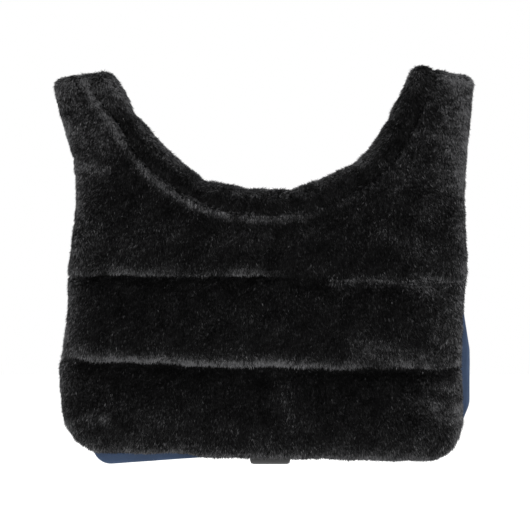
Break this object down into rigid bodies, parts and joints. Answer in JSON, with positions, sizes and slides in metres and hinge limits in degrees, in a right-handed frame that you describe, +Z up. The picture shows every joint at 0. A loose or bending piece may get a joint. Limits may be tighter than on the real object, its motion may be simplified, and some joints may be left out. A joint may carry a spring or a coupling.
{
  "type": "padded fur-lined breastplate",
  "caption": "Quilted chest bib with a U neckline, fur lining and neck roll, navy woven shell, webbing keepers, belly loop, D-ring and wither strap with a bolt snap.",
  "frame": {"origin": "lowest point of the neckline, on the top of the neck roll at the bib's middle plane, where the bib hangs on the horse's neck", "axes": "+Z up; +X to the viewer's right when the fur lining is seen; the fur faces -Y and the woven shell faces +Y"},
  "size_m": [0.5083, 0.0441, 0.4843],
  "materials": {
    "fur": "dense short plush pile",
    "shell_cloth": "plain woven, matt",
    "wadding": "needled polyester wadding",
    "foam": "soft roll filling",
    "webbing": "ribbed polypropylene webbing",
    "narrow_webbing": "ribbed polypropylene webbing",
    "thread": "twisted polyester thread",
    "hook_tape": "moulded hooks",
    "loop_tape": "brushed loops",
    "slider_plastic": "moulded, fine grain",
    "steel": "nickel plated",
    "spring_steel": "drawn wire"
  },
  "bodies": {
    "root": {"outer_shell": "shell_cloth", "wadding": "wadding", "fur_lining": "fur", "neck_roll_cover": "fur", "neck_roll_core": "foam", "upper_quilt_stitches": "thread", "lower_quilt_stitches": "thread", "roll_seam_stitches": "thread", "edge_stitches": "thread", "centre_webbing": "webbing", "centre_webbing_stitches": "thread", "belly_loop": "webbing", "belly_loop_stitches": "thread", "ring_tab": "narrow_webbing", "ring_tab_stitches": "thread", "upper_keeper_sewn_end": "webbing", "upper_keeper_stitches": "thread", "upper_keeper_loop_tape": "loop_tape", "lower_keeper_sewn_end": "webbing", "lower_keeper_stitches": "thread", "lower_keeper_loop_tape": "loop_tape", "wither_strap_sewn_end": "narrow_webbing", "wither_strap_stitches": "thread"},
    "upper_keeper": {"upper_keeper_flap": "webbing", "upper_keeper_hook_tape": "hook_tape", "upper_keeper_flap_stitches": "thread"},
    "lower_keeper": {"lower_keeper_flap": "webbing", "lower_keeper_hook_tape": "hook_tape", "lower_keeper_flap_stitches": "thread"},
    "ring": {"d_ring": "steel"},
    "strap": {"wither_strap": "narrow_webbing"},
    "slider": {"strap_slider": "slider_plastic"},
    "eye": {"snap_eye": "steel"},
    "snap": {"snap_body": "steel", "snap_spring": "spring_steel"},
    "bolt": {"snap_bolt": "steel"}
  },
  "joints": [
    {"name": "upper_keeper_open", "type": "hinge", "parent": "root", "child": "upper_keeper", "pos_m": [0.009, 0.0148, -0.064], "axis": [1, 0, 0], "range_deg": [0, 150]},
    {"name": "lower_keeper_open", "type": "hinge", "parent": "root", "child": "lower_keeper", "pos_m": [0.009, 0.0148, -0.167], "axis": [1, 0, 0], "range_deg": [0, 150]},
    {"name": "ring_swing", "type": "hinge", "parent": "root", "child": "ring", "pos_m": [-0.209, 0.0134, 0.076], "axis": [1, 0, 0], "range_deg": [0, 170]},
    {"name": "strap_swing", "type": "hinge", "parent": "root", "child": "strap", "pos_m": [0.223, 0.0154, 0.084], "axis": [1, 0, 0], "range_deg": [0, 150]},
    {"name": "slider_travel", "type": "slide", "parent": "strap", "child": "slider", "axis": [0, 0, -1], "range_m": [0, 0.135]},
    {"name": "eye_swing", "type": "hinge", "parent": "strap", "child": "eye", "pos_m": [0.223, 0.0164, -0.188], "axis": [1, 0, 0], "range_deg": [0, 90]},
    {"name": "snap_swivel", "type": "hinge", "parent": "eye", "child": "snap", "pos_m": [0.223, 0.0164, -0.205], "axis": [0, 0, 1], "range_deg": [-90, 0]},
    {"name": "bolt_travel", "type": "slide", "parent": "snap", "child": "bolt", "axis": [0, 0, 1], "range_m": [0, 0.009], "stiffness_N_per_m": 500, "springref_m": -0.004, "deforming": ["snap_spring"]}
  ]
}
